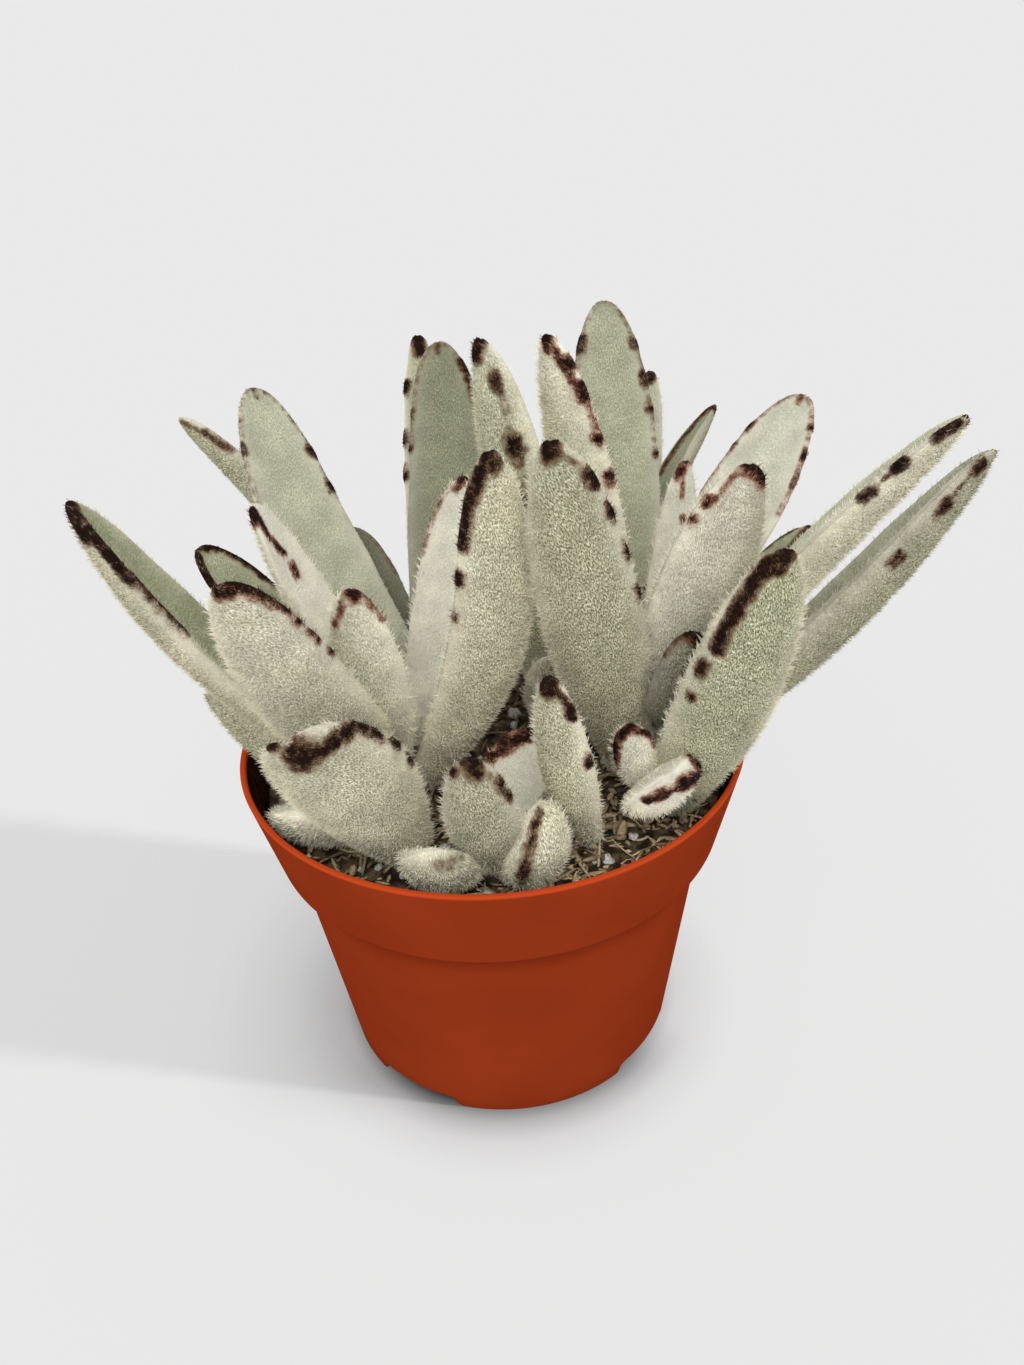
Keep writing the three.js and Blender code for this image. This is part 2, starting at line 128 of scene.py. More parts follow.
LEAVES = {
    "left": [
        leaf((74, 199, 36, 82, 21, 8, 6, 0, -6, 0.3), 0.0, 0.05, tone=1.08, marks=[
            (0.95, 1.0, 330, 2.6, 1), (0.84, 0.96, 358, 1.5, 1), (0.68, 0.84, 30, 1.6, 0.9)]),
        leaf((65.5, 196, 45, 46, 16, 5.5, 4, 0, 35, 0.3), 0.1, 0.4),
        leaf((86, 176, 24, 50, 14, 5, 2, 0, -10, 0.3), 1.0, 0.1, tone=1.14, nap=0.8, marks=[
            (0.985, 0.95, (368, 415), 1.9, 1), (0.95, 0.79, (415, 448), 1.5, 0.9),
            (0.705, 0.715, 450, 1.9, 1)]),
        leaf((80, 172, 38, 53, 17, 5.5, 2, 0, -10, 0.3), 0.1, 0.6, tone=0.97, nap=0.4, marks=[
            (0.98, 1.0, 120, 1.1, 0.9), (0.55, 0.99, 177, 1.4, 0.95), (0.55, 0.99, 4, 1.4, 0.95)]),
        leaf((70, 228, 29, 67, 20, 6.5, 5, 0, 45, 0.2), 0.55, 0.0, tone=1.07, marks=[
            (0.99, 0.985, (270, 335), 2.3, 1), (0.98, 0.91, 360, 2.2, 1), (0.91, 0.85, 2, 1.5, 0.9),
            (0.81, 0.815, 2, 1.6, 1), (0.75, 0.76, 2, 1.7, 1), (0.68, 0.68, 0, 1.4, 1)]),
        leaf((77, 242, 12, 43, 16, 5.5, 2, 0, 5, 0.2), 0.72, 0.7, tone=1.18, marks=[
            (0.985, 0.995, 310, 2.3, 0.9), (0.97, 0.82, (255, 229), 1.2, 0.6),
            (0.99, 0.86, (345, 362), 1.3, 0.6)]),
        leaf((76, 46, 21, 56, 16.5, 5.5, 2, -2, 25, 0.4), 1.0, 0.2, tone=1.09, marks=[
            (0.96, 1.0, 60, 1.4, 0.9), (0.72, 0.95, 358, 0.9, 0.5)]),
        leaf((68, 323, 17, 80, 16.5, 6.5, 4, 6, -35, 0.2), 0.3, 0.0, tone=1.18, marks=[
            (0.98, 1.0, 262, 2.6, 1), (0.97, 0.9, (232, 206), 1.8, 1), (0.9, 0.8, (205, 199), 1.7, 1),
            (0.7, 0.73, 198, 1.4, 1), (0.61, 0.615, 197, 1.3, 0.9)]),
        back_leaf(70, 118, 50, 41, 16, 6, 3, 0, 0, 0.3),
        leaf((80, 285, 5, 12, 8, 4, 1, 0, 0, 0.3), 0.7, 0.3, marks=[(0.9, 1.0, 270, 1.2, 0.9)]),
        leaf((66, 212, 75, 27, 26, 11, 2, 0, 30, 0.1), 0.6, 0.8, tone=1.35),
    ],
    "back_left": [
        leaf((68, 143, 46, 87, 15, 6, -5, 0, 70, 0.3), 0.05, 0.8, nap=0.6, marks=[
            (0.985, 0.92, (300, 332), 0.9, 0.55), (0.92, 0.84, (334, 342), 1.3, 0.75)]),
        leaf((78, 134, 39, 74, 22, 6, 3, 4, 5, 0.2), 0.35, 0.3, tone=1.03, nap=0.4, marks=rims(0.62) + [
            (0.97, 1.0, 90, 1.1, 0.6), (0.77, 0.79, 160, 1.6, 1), (0.64, 0.66, 160, 1.6, 1),
            (0.8, 0.82, 10, 1.3, 0.9)]),
        leaf((71, 122, 38, 44, 17, 6, 3, 0, 0, 0.2), 0.0, 0.9, tone=0.48, nap=0.4, marks=rims(0.7)),
        leaf((74, 88, 39, 84, 13, 5.5, 3, -2, 0, 0.2), 0.1, 0.4, tone=1.12, nap=0.5, marks=[
            (0.955, 1.0, 90, 2.3, 1), (0.85, 0.87, 20, 1.6, 1), (0.7, 0.72, 5, 1.6, 1),
            (0.6, 0.62, 5, 1.5, 1), (0.85, 0.87, 160, 1.3, 1), (0.7, 0.72, 172, 1.3, 1)]),
        leaf((80, 82, 37, 75, 20, 6, 3, -4, 0, 0.2), 0.05, 0.7, tone=0.64, nap=0.4, marks=rims(0.7) + [
            (0.76, 0.93, 160, 1.6, 0.9), (0.97, 1.0, 90, 1.2, 0.5), (0.8, 0.8, 4, 1.2, 1),
            (0.68, 0.68, 4, 1.2, 1)]),
        back_leaf(70, 58, 52, 50, 16, 6, 3, 0, 0, 0.3),
        leaf((82, 60, 9, 18, 9, 4.5, 1, 0, 0, 0.3), 0.8, 0.2, marks=[(0.9, 1.0, 90, 1.2, 0.9)]),
        back_leaf(67, 175, 58, 44, 15, 6, 3, 0, 0, 0.3),
    ],
    "middle": [
        leaf((70, 200, 7, 86, 21, 6, 0, 0, 14, 0.4), 0.35, 0.9, tone=1.18, marks=[
            (0.975, 1.0, 262, 2.6, 1), (0.91, 0.93, 309, 1.8, 0.9), (0.66, 0.9, 314, 1.5, 0.36),
            (0.765, 0.785, 314, 2.5, 1), (0.635, 0.65, 311, 2.4, 1), (0.565, 0.58, 310, 2.2, 1),
            (0.49, 0.5, 310, 1.7, 1)]),
        leaf((70, 265, 34, 36, 14, 5.5, 2, 0, 0, 0.3), 0.1, 0.6, marks=[(0.95, 1.0, 270, 1.1, 0.6)]),
        back_leaf(72, 95, 38, 54, 17, 6, 3, 0, 0, 0.3),
        leaf((67, 35, 34, 34, 15, 5.5, 3, 0, 0, 0.3), 0.2, 0.5, cover=0.7, marks=rims(0.7)),
    ],
    "right": [
        leaf((69, 226, 16, 81, 19.5, 7.5, 4, 0, 35, 0.2), 0.1, 0.45, marks=[
            (0.98, 1.0, 262, 2.3, 1), (0.985, 0.94, (290, 332), 0.9, 0.5), (0.9, 0.92, 342, 2.2, 1),
            (0.815, 0.835, 353, 1.9, 1), (0.72, 0.735, 355, 1.8, 1), (0.61, 0.62, 355, 1.8, 1)]),
        leaf((84, 69, 38, 50, 10, 5, 2, 0, -10, 0.3), 0.8, 0.3, tone=0.96, marks=[
            (0.94, 1.0, 70, 1.6, 0.85), (0.85, 0.93, 95, 0.9, 0.6), (0.75, 0.76, 110, 1.2, 0.7)]),
        leaf((80, 323, 16, 61, 21, 6, 3, -2, -35, 0.2), 0.75, 0.1, tone=1.04, marks=[
            (0.97, 1.0, 330, 2.7, 1), (0.9, 0.98, 220, 0.8, 0.6), (0.88, 0.89, 205, 1.3, 0.9),
            (0.82, 0.83, 200, 1.2, 0.9)]),
        leaf((76, 338, 34.5, 86.5, 22, 7.5, -3, 0, -8, 0.3), 0.35, 0.2, tone=1.12, marks=[
            (0.955, 1.0, 185, 1.6, 0.9), (0.87, 0.885, 188, 1.6, 1), (0.84, 0.87, 189, 0.8, 0.6),
            (0.8, 0.81, 192, 1.6, 1)]),
        leaf((70, 10, 48, 88, 20, 7, 4, 0, -30, 0.6), 0.1, 0.6, tone=0.85, marks=[
            (0.94, 0.96, 212, 1.8, 1), (0.83, 0.85, 214, 1.9, 1), (0.69, 0.7, 214, 1.9, 1),
            (0.86, 0.93, 213, 0.7, 0.7), (0.97, 1.0, 90, 1.2, 0.7)]),
        leaf((82, 283, 32, 36, 11, 5, 3, 0, 0, 0.3), 0.2, 0.3, tone=0.52, marks=[
            (0.96, 1.0, 300, 1.9, 1), (0.84, 0.97, 352, 1.2, 0.95), (0.84, 0.98, 190, 0.8, 0.6)]),
        back_leaf(67, 50, 58, 46, 16, 6, 3, 0, 0, 0.3),
        leaf((88, 180, 8, 24, 9, 4.5, 1, 0, 0, 0.3), 0.85, 0.2, marks=[(0.9, 1.0, 270, 1.2, 0.9)]),
    ],
    "back_right": [
        leaf((78, 203, 11, 78, 19, 6, 0, 0, 14, 0.2), 0.85, 0.2, tone=1.25, marks=[
            (0.98, 1.0, 290, 2.1, 0.9), (0.98, 0.87, (302, 341), 1.3, 0.75), (0.93, 0.945, 335, 1.8, 1),
            (0.86, 0.88, 344, 1.8, 1), (0.77, 0.86, 348, 1.1, 0.55), (0.745, 0.755, 345, 1.7, 1),
            (0.64, 0.65, 347, 1.7, 1)]),
        leaf((78, 92, 28, 80, 20, 6, 3, 0, 0, 0.2), 0.2, 0.4, tone=0.92, nap=0.4, marks=rims(0.6) + [
            (0.87, 0.9, 20, 1.6, 1), (0.87, 0.89, 160, 1.5, 0.9), (0.78, 0.8, 163, 1.6, 1),
            (0.7, 0.71, 165, 1.5, 1), (0.58, 0.59, 165, 1.3, 1)]),
        leaf((70, 79, 46, 81, 12, 5.5, 2, 2, 0, 0.2), 0.3, 0.3, marks=[(0.97, 1.0, 90, 1.8, 0.9)]),
        leaf((76, 63, 50, 69, 14, 6, -5, 3, -45, 0.3), 0.1, 0.2, tone=0.76, nap=0.4, marks=[
            (0.7, 1.0, 60, 1.8, 0.75), (0.97, 1.0, 130, 1.5, 0.9)]),
        leaf((80, 42, 51, 72, 23, 6, 3, 0, 0, 0.2), 0.6, 0.2, tone=1.05, nap=0.4, marks=rims(0.6) + [
            (0.97, 1.0, 90, 1.2, 0.7), (0.83, 0.86, 10, 1.2, 0.9), (0.76, 0.77, 10, 1.1, 0.9),
            (0.89, 0.9, 170, 1.2, 1), (0.8, 0.81, 170, 1.2, 1), (0.71, 0.72, 170, 1.2, 1)]),
        leaf((72.5, 32, 63, 56, 17, 5.5, 3, 0, -17, 0.3), 0.1, 0.6, marks=[
            (0.88, 1.0, 90, 1.8, 0.75), (0.75, 0.97, 10, 0.8, 0.7)]),
        back_leaf(68, 118, 50, 56, 17, 6, 3, 0, 0, 0.3),
        leaf((82, 40, 8, 16, 9, 4.5, 1, 0, 0, 0.3), 0.8, 0.2, marks=[(0.9, 1.0, 270, 1.2, 0.9)]),
    ],
    "front_left": [
        leaf((65, 226, 31, 47, 24, 7.5, -1, 0, 50, 0.5), 0.4, 0.3, tone=1.1, marks=[
            (0.93, 0.95, (277, 284), 3.9, 1), (0.92, 0.87, (292, 322), 2.0, 1),
            (0.87, 0.83, (325, 345), 2.2, 1), (0.82, 0.72, 348, 1.6, 0.9),
            (0.98, 0.99, (180, 200), 1.6, 0.9), (0.67, 0.7, 348, 1.4, 0.9), (0.57, 0.6, 352, 1.5, 1),
            (0.45, 0.47, 350, 1.5, 0.9)]),
        leaf((66, 299, 54, 19, 17, 7.5, 3, 0, -30, 0.2), 0.4, 0.5, tone=1.26, marks=[
            (0.86, 0.98, (236, 262), 1.8, 0.4)]),
    ],
    "front": [
        leaf((66, 256, 18, 34, 14.5, 7, 2, 0, 5, 0.2), 0.15, 0.4, tone=0.93, marks=[
            (0.96, 1.0, 290, 2.4, 1), (0.92, 0.94, 215, 1.4, 0.95), (0.82, 0.86, 335, 1.5, 1),
            (0.73, 0.76, 345, 1.4, 1), (0.86, 0.95, (335, 318), 0.8, 0.5)]),
        leaf((64, 338, 25, 21, 13.5, 7.5, 5.2, 0, -50, 0.2), 0.42, 0.3, tone=1.24, marks=[
            (0.4, 0.62, (240, 232), 1.7, 0.85), (0.62, 0.8, 231, 1.4, 0.85), (0.8, 0.93, 230, 1.2, 0.8)]),
        leaf((73, 60, 50, 20, 14, 5, 1, 0, 10, 0.3), 0.8, 0.3, marks=[
            (0.55, 0.75, (25, 38), 1.5, 0.95), (0.75, 0.97, (38, 75), 2.4, 1)]),
    ],
    "front_right": [
        leaf((66, 224, 13, 43, 12.5, 6.5, 2, 0, 10, 0.2), 0.2, 0.5, tone=1.12, marks=[
            (0.965, 1.0, 275, 2.5, 1), (0.97, 0.87, (312, 342), 1.1, 0.75), (0.84, 0.87, 335, 1.5, 1),
            (0.59, 0.62, 345, 1.4, 1)]),
    ],
    "side": [
        leaf((75, 205, 9, 16, 10, 5, 1, 0, 40, 0.3), 0.9, 0.4, tone=1.22, marks=[
            (0.42, 0.6, 230, 1.1, 0.75), (0.6, 0.85, (229, 233), 1.6, 1),
            (0.86, 0.99, (235, 270), 1.5, 1), (0.99, 0.88, (290, 345), 1.3, 0.9),
            (0.86, 0.74, 348, 1.0, 0.7)]),
        leaf((76.5, 281, 48, 17.5, 17.5, 8.5, 1, 0, 26, 0.1), 1.25, 0.1, tone=1.15, nap=0.85, marks=[
            (0.84, 0.84, 205, 1.4, 1), (0.89, 0.91, (224, 234), 1.8, 1),
            (0.93, 0.9, (248, 285), 1.0, 0.9), (0.9, 0.74, (285, 313), 2.3, 1),
            (0.7, 0.8, (318, 338), 2.8, 1), (0.8, 0.88, (340, 362), 1.6, 0.85)]),
        leaf((66, 307, 21, 70, 18.5, 7, 4, 0, -40, 0.2), 0.1, 0.9, tone=1.05, marks=[
            (0.96, 1.0, 250, 2.0, 1), (0.72, 0.97, 222, 1.9, 1), (0.63, 0.66, 214, 1.7, 1),
            (0.55, 0.56, 218, 1.5, 1)]),
    ],
}
LEAF_WIDEST = 0.5                   # where along its length a leaf is widest
LEAF_THICKEST = 0.38
LEAF_FOOT = 0.48                    # width of the foot as a part of the full width
LEAF_FOOT_THICKNESS = 0.6
LEAF_TIP_POWER = 2.1
LEAF_SHOULDER = 1.4
LEAF_UPPER = 0.38                   # part of the thickness that lies above the margins
FOOT_ROUNDING = 0.06

# Felt.
SKIN_SEGMENTS = 36
HAIR_ROOM = 0.5 * MM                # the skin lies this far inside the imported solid
HAIR_LENGTH = 1.15 * MM
HAIR_WIDTH = 0.17 * MM
HAIR_LEAN = 0.75                    # how far the hairs lean towards the tip, where 1 is 45 degrees
HAIR_SCATTER = 0.38                 # how far each hair strays from that lean
HAIR_STAND = 0.25                   # the least that a hair stands away from the skin
HAIRS_PER_SQUARE_MM = 3.15
TOOTH = 0.45 * MM                   # how far the skin swells under a brown mark
RIPPLE = 0.12 * MM
SEED_BEFORE_LEAVES = 100
MAP_MARGIN = 0.01                   # the bake map has the skin in its left half and the hairs in its right
MAP_HALF = 0.5
MAP_WIDTH = 0.47

# Stage. A lamp has its azimuth from +X, its elevation, its strength and its spread.
SOFTBOX = (-93, 48, 1.46, 50)
LOW_SUN = (-14, 12, 14.0, 4)
SKY_STRENGTH = 0.73
FLOOR_GLOW = 0.578
FLOOR_REACH = 30
CAMERA_PLACE = (0.004846, -0.210913, 0.212860)
CAMERA_DIP = 31.14                  # degrees below the horizon
CAMERA_TILT = -3.4
CAMERA_LENS = 31.648
CAMERA_FRAME = 36


# Shader maths ----------------------------------------------------------------------------------------

class Value:
    """One shader socket, so that node maths reads as ordinary arithmetic."""

    def __init__(self, graph, socket):
        self.graph = graph
        self.socket = socket

    def maths(self, operation, *others):
        return self.graph.node("ShaderNodeMath", {"operation": operation}, dict(enumerate(others)))

    def __add__(self, other):
        return self.maths("ADD", self, other)

    def __radd__(self, other):
        return self.maths("ADD", other, self)

    def __sub__(self, other):
        return self.maths("SUBTRACT", self, other)

    def __rsub__(self, other):
        return self.maths("SUBTRACT", other, self)

    def __mul__(self, other):
        return self.maths("MULTIPLY", self, other)

    def __rmul__(self, other):
        return self.maths("MULTIPLY", other, self)

    def step(self, low, high):
        """0 below low and 1 above high, with a smooth rise between."""
        return self.graph.node("ShaderNodeMapRange", {"interpolation_type": "SMOOTHSTEP"},
                               {0: self, 1: low, 2: high})


class Finish:
    """A material under construction."""

    def __init__(self, name, **constants):
        self.material = bpy.data.materials.new(name)
        self.material.use_nodes = True
        self.nodes = self.material.node_tree.nodes
        self.links = self.material.node_tree.links
        self.shader = self.nodes["Principled BSDF"]
        for socket, value in constants.items():
            self.shader.inputs[socket.replace("_", " ")].default_value = value

    def node(self, kind, settings=None, sockets=None, out=0):
        made = self.nodes.new(kind)
        for name, value in (settings or {}).items():
            setattr(made, name, value)
        for name, value in (sockets or {}).items():
            if isinstance(value, Value):
                self.links.new(value.socket, made.inputs[name])
            else:
                made.inputs[name].default_value = value
        return Value(self, made.outputs[out])

    def place(self, stretch=(1, 1, 1)):
        where = self.node("ShaderNodeTexCoord", out="Object")
        return self.node("ShaderNodeMapping", sockets={"Vector": where, "Scale": stretch})

    def noise(self, scale, detail=2.0, stretch=(1, 1, 1)):
        return self.node("ShaderNodeTexNoise", sockets={
            "Vector": self.place(stretch), "Scale": scale, "Detail": detail})

    def strands(self, scale):
        """Streaks that run along each leaf, read from its own flattened measure of skin."""
        skin = self.node("ShaderNodeAttribute", {"attribute_name": "skin"}, out="Vector")
        drawn = self.node("ShaderNodeMapping", sockets={"Vector": skin, "Scale": (1, 0.4, 1)})
        return self.node("ShaderNodeTexNoise", sockets={
            "Vector": drawn, "Scale": scale, "Detail": 1.5, "Distortion": 0.6})

    def attribute(self, name):
        return self.node("ShaderNodeAttribute", {"attribute_name": name}, out="Fac")

    def mix(self, factor, first, second):
        colours = {6: first, 7: second}
        return self.node("ShaderNodeMix", {"data_type": "RGBA"}, {0: factor, **colours}, out=2)

    def dim(self, colour, factor):
        return self.node("ShaderNodeVectorMath", {"operation": "SCALE"}, {0: colour, "Scale": factor})

    def bump(self, height, distance, strength=1.0):
        return self.node("ShaderNodeBump", sockets={
            "Height": height, "Distance": distance, "Strength": strength})

    def set(self, socket, value):
        self.links.new(value.socket, self.shader.inputs[socket])


def rgb(red, green, blue):
    return (red, green, blue, 1.0)


def felt_finish():
    felt = Finish("leaf_felt", Roughness=0.95, Specular_IOR_Level=0.08)
    upper_green = rgb(0.41, 0.435, 0.27)
    outer_tan = rgb(0.58, 0.50, 0.34)
    outer_green = rgb(0.42, 0.44, 0.26)
    young_white = rgb(0.84, 0.82, 0.71)
    hair_cream = rgb(0.93, 0.88, 0.73)
    gap_olive = rgb(0.125, 0.132, 0.055)
    rust = rgb(0.31, 0.066, 0.018)
    dull_brown = rgb(0.195, 0.088, 0.038)
    tip_brown = rgb(0.016, 0.0065, 0.0045)
    hair = felt.attribute("hair")
    luck = felt.attribute("luck")
    young = felt.attribute("white")
    strands = felt.strands(5200)
    outer = felt.mix(felt.attribute("green"), outer_tan, outer_green)
    patches = felt.noise(120, 2).step(0.35, 0.65)
    outer = felt.mix(patches * 0.6, outer, outer_green)
    colour = felt.mix(felt.attribute("upper"), outer, upper_green)
    colour = felt.mix(young, colour, young_white)
    smooth = 1 - felt.attribute("upper") * 0.5
    gaps = strands.step(0.56, 0.40) * smooth * (1 - young * 0.5)
    colour = felt.mix(gaps * (1 - hair) * 0.95, colour, gap_olive)
    colour = felt.mix(strands.step(0.52, 0.64) * (1 - hair) * smooth * 0.72, colour, hair_cream)
    colour = felt.mix(hair * (luck * 0.6 + 0.3), colour, hair_cream)
    # Painted rim light: the margins turn cream, as if the fuzz there caught the light.
    colour = felt.mix(felt.attribute("rim_light") * 0.65, colour, hair_cream)
    cloud = felt.noise(170, 3).step(0.3, 0.7)
    # Painted light and shade: each leaf is made lighter or darker by its tone, for how brightly it is lit.
    colour = felt.dim(colour, felt.attribute("tone") * (cloud * 0.2 + 0.9))
    blots = felt.noise(600, 2) - 0.5
    ragged = (strands - 0.5) * 1.3 + (luck - 0.5) * 0.6 + blots * 1.1
    mark = felt.attribute("brown")
    brown = mark + ragged * mark.step(0, 0.35)
    halo = felt.mix(young.step(0.35, 0.75), dull_brown, rust)
    colour = felt.mix(brown.step(0.08, 0.6) * 0.85, colour, halo)
    colour = felt.mix(brown.step(0.4, 0.92), colour, tip_brown)
    felt.set("Base Color", colour)
    felt.set("Normal", felt.bump(strands, 0.3 * MM, 0.8))
    return felt.material


def pot_finish():
    """Matt orange plastic, with a painted highlight along the top of the lip, painted shade under the collar
    and a dark inner wall of painted shade blotched like soil stains.
    """
    plastic = Finish("pot_plastic", Specular_IOR_Level=0.0)
    orange = rgb(0.288, 0.0362, 0.0096)
    deep_orange = rgb(0.262, 0.0320, 0.0083)
    shade = rgb(0.15, 0.0145, 0.004)
    lip_highlight_orange = rgb(0.52, 0.062, 0.014)
    dark_stain_and_shade = rgb(0.018, 0.007, 0.004)
    brown_stain_and_shade = rgb(0.05, 0.017, 0.008)
    cloud = plastic.noise(45, 3)
    flow = plastic.noise(420, 2, (1, 1, 0.04))
    where = plastic.node("ShaderNodeTexCoord", out="Object")
    height = plastic.node("ShaderNodeSeparateXYZ", sockets={0: where}, out="Z")
    wall = plastic.mix(cloud.step(0.35, 0.7), orange, deep_orange)
    # Painted shade in a soft band under the collar's overhang.
    rising = height.step(COLLAR_Z - 7.5 * MM, COLLAR_Z - 0.4 * MM)
    under_collar_shade = rising * height.step(COLLAR_Z + 0.4 * MM, COLLAR_Z - 0.2 * MM)
    wall = plastic.mix(under_collar_shade * 0.6, wall, shade)
    # Painted shade on the inner wall above the soil, blotched like soil stains.
    blotches = plastic.noise(300, 3).step(0.3, 0.75)
    stain_and_shade = plastic.mix(blotches, dark_stain_and_shade, brown_stain_and_shade)
    wall = plastic.mix(plastic.attribute("inside"), wall, stain_and_shade)
    # Painted highlight along the top of the lip.
    lip = height.step(POT_HEIGHT - 0.9 * MM, POT_HEIGHT - 0.4 * MM)
    plastic.set("Base Color", plastic.mix(lip, wall, lip_highlight_orange))
    plastic.set("Roughness", cloud * 0.12 + flow * 0.08 + 0.36)
    grain = plastic.noise(1600, 2) * 0.5 + flow
    plastic.set("Normal", plastic.bump(grain, 0.06 * MM, 0.5))
    return plastic.material


def soil_finish():
    soil = Finish("potting_soil", Roughness=0.95, Specular_IOR_Level=0.2)
    peat = rgb(0.028, 0.019, 0.011)
    bark = rgb(0.17, 0.12, 0.072)
    lumps = soil.noise(420, 4)
    crumbs = soil.noise(1500, 3)
    soil.set("Base Color", soil.mix(lumps.step(0.4, 0.65), peat, bark))
    soil.set("Normal", soil.bump(lumps + crumbs * 0.5, 0.8 * MM, 0.9))
    return soil.material


def shred_finish():
    shred = Finish("bark_shreds", Roughness=0.85, Specular_IOR_Level=0.25)
    dark = rgb(0.14, 0.093, 0.050)
    golden = rgb(0.96, 0.74, 0.44)
    crack = rgb(0.06, 0.034, 0.016)
    grain = shred.noise(2200, 2)
    # The luck attribute holds each shred's random tone together with its painted shade.
    colour = shred.mix(shred.attribute("luck"), dark, golden)
    shred.set("Base Color", shred.mix(grain.step(0.4, 0.7) * 0.5, colour, crack))
    shred.set("Normal", shred.bump(grain, 0.2 * MM, 0.6))
    return shred.material


def perlite_finish():
    perlite = Finish("perlite", Roughness=0.9, Specular_IOR_Level=0.3)
    dusty = rgb(0.45, 0.42, 0.37)
    chalk = rgb(0.82, 0.81, 0.77)
    pores = perlite.noise(1800, 3)
    perlite.set("Base Color", perlite.mix(pores.step(0.35, 0.6), dusty, chalk))
    perlite.set("Normal", perlite.bump(pores, 0.3 * MM, 0.8))
    return perlite.material


def stem_finish():
    stem = Finish("stem_bark", Roughness=0.9, Specular_IOR_Level=0.2)
    brown = rgb(0.17, 0.13, 0.06)
    green = rgb(0.20, 0.20, 0.10)
    straw = rgb(0.36, 0.31, 0.20)
    rings = stem.noise(260, 3, (1, 1, 3))
    fibres = stem.noise(2400, 2, (1, 1, 0.25))
    colour = stem.mix(rings.step(0.4, 0.62), brown, green)
    stem.set("Base Color", stem.mix(fibres.step(0.5, 0.7) * 0.5, colour, straw))
    stem.set("Normal", stem.bump(fibres + rings, 0.3 * MM, 0.8))
    return stem.material


def floor_finish():
    """Pale paper that glows, so that only the low sun draws a clear shadow on it, and a shadow is painted
    round the pot's foot.

    The painted shadow round the foot is darkest in front, and softer in the low sun's shadow on the left.
    """
    paper = Finish("pale_floor", Base_Color=rgb(0.12, 0.12, 0.12), Roughness=0.95, Specular_IOR_Level=0.0,
                   Emission_Strength=1.0)
    where = paper.node("ShaderNodeTexCoord", out="Object")
    away = paper.node("ShaderNodeVectorMath", {"operation": "LENGTH"}, {0: where}, out="Value")
    right = paper.node("ShaderNodeSeparateXYZ", sockets={0: where}, out="X")
    back = paper.node("ShaderNodeSeparateXYZ", sockets={0: where}, out="Y")
    # Painted shadow round the pot's foot, cut out of the floor's glow.
    all_round = away.step(56 * MM, 36 * MM) * 0.2 + away.step(40.5 * MM, 34.5 * MM) * 0.35
    left = right.step(-16 * MM, -34 * MM)
    near = away.step(46 * MM, 37 * MM) * 0.4 + away.step(56 * MM, 42 * MM) * 0.06
    in_front = back.step(-12 * MM, -30 * MM) * near * (1 - left * 0.6)
    in_shadow = left * back.step(-42 * MM, -24 * MM) * away.step(80 * MM, 36 * MM) * 0.24
    painted_foot_shadow = all_round + in_front + in_shadow
    glow = rgb(FLOOR_GLOW, FLOOR_GLOW, FLOOR_GLOW)
    paper.set("Emission Color", paper.mix(painted_foot_shadow, glow, rgb(0, 0, 0)))
    return paper.material


# Pieces -----------------------------------------------------------------------------------------------

def new_piece(name, mesh, material, replaced=()):
    mesh.materials.append(material)
    piece = bpy.data.objects.new(name, mesh)
    bpy.context.scene.collection.objects.link(piece)
    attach(piece, "root")
    if replaced:
        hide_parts(*replaced)
    return piece


def mesh_of(bm, name):
    mesh = bpy.data.meshes.new(name)
    bm.to_mesh(mesh)
    bm.free()
    mesh.shade_smooth()
    return mesh


def spun(profile, segments):
    """A closed solid turned about +Z from [radius, height] pairs that start and end on the axis."""
    bm = bmesh.new()
    points = [bm.verts.new((radius, 0, height)) for radius, height in profile]
    edges = [bm.edges.new(pair) for pair in zip(points, points[1:])]
    bmesh.ops.spin(bm, geom=points + edges, cent=(0, 0, 0), axis=(0, 0, 1), angle=2 * math.pi,
                   steps=segments, use_merge=True)
    bmesh.ops.remove_doubles(bm, verts=bm.verts, dist=1e-6)
    bmesh.ops.recalc_face_normals(bm, faces=bm.faces)
    return bm


def rounded(profile, radii):
    """The profile with each corner cut to a short arc of the radius given for it."""
    out = [profile[0]]
    for before, corner, after, radius in zip(profile, profile[1:], profile[2:], radii):
        a, b, c = Vector(before), Vector(corner), Vector(after)
        reach = min(radius, (a - b).length * 0.45, (c - b).length * 0.45)
        start = b + (a - b).normalized() * reach
        end = b + (c - b).normalized() * reach
        for part in (0, 0.25, 0.5, 0.75, 1):
            along = start.lerp(b, part).lerp(b.lerp(end, part), part)
            out.append((along.x, along.y))
    out.append(profile[-1])
    return out


